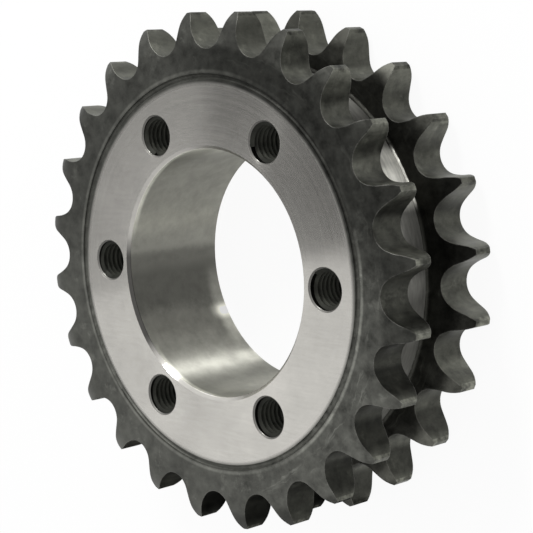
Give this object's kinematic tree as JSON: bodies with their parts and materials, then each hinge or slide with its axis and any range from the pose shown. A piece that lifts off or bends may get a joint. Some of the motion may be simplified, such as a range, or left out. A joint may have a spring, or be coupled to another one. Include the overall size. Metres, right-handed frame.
{
  "type": "double-strand roller chain sprocket",
  "caption": "Double-strand roller chain sprocket: tooth rows on either side of a turned channel, a machined hub face, a plain bore and a circle of tapped holes.",
  "frame": {"origin": "centre of the bore on the plane of the back face, on which the sprocket rests", "axes": "+Z along the bore axis, from the back face to the grooved front face; a tooth gap and a tapped hole are centred on +X"},
  "size_m": [0.155, 0.155, 0.0378],
  "materials": {
    "sprocket": "machined and hardened carbon steel: bright turned hub face and bore, dark mottled tooth rows"
  },
  "bodies": {
    "root": {"sprocket": "sprocket"}
  },
  "joints": []
}
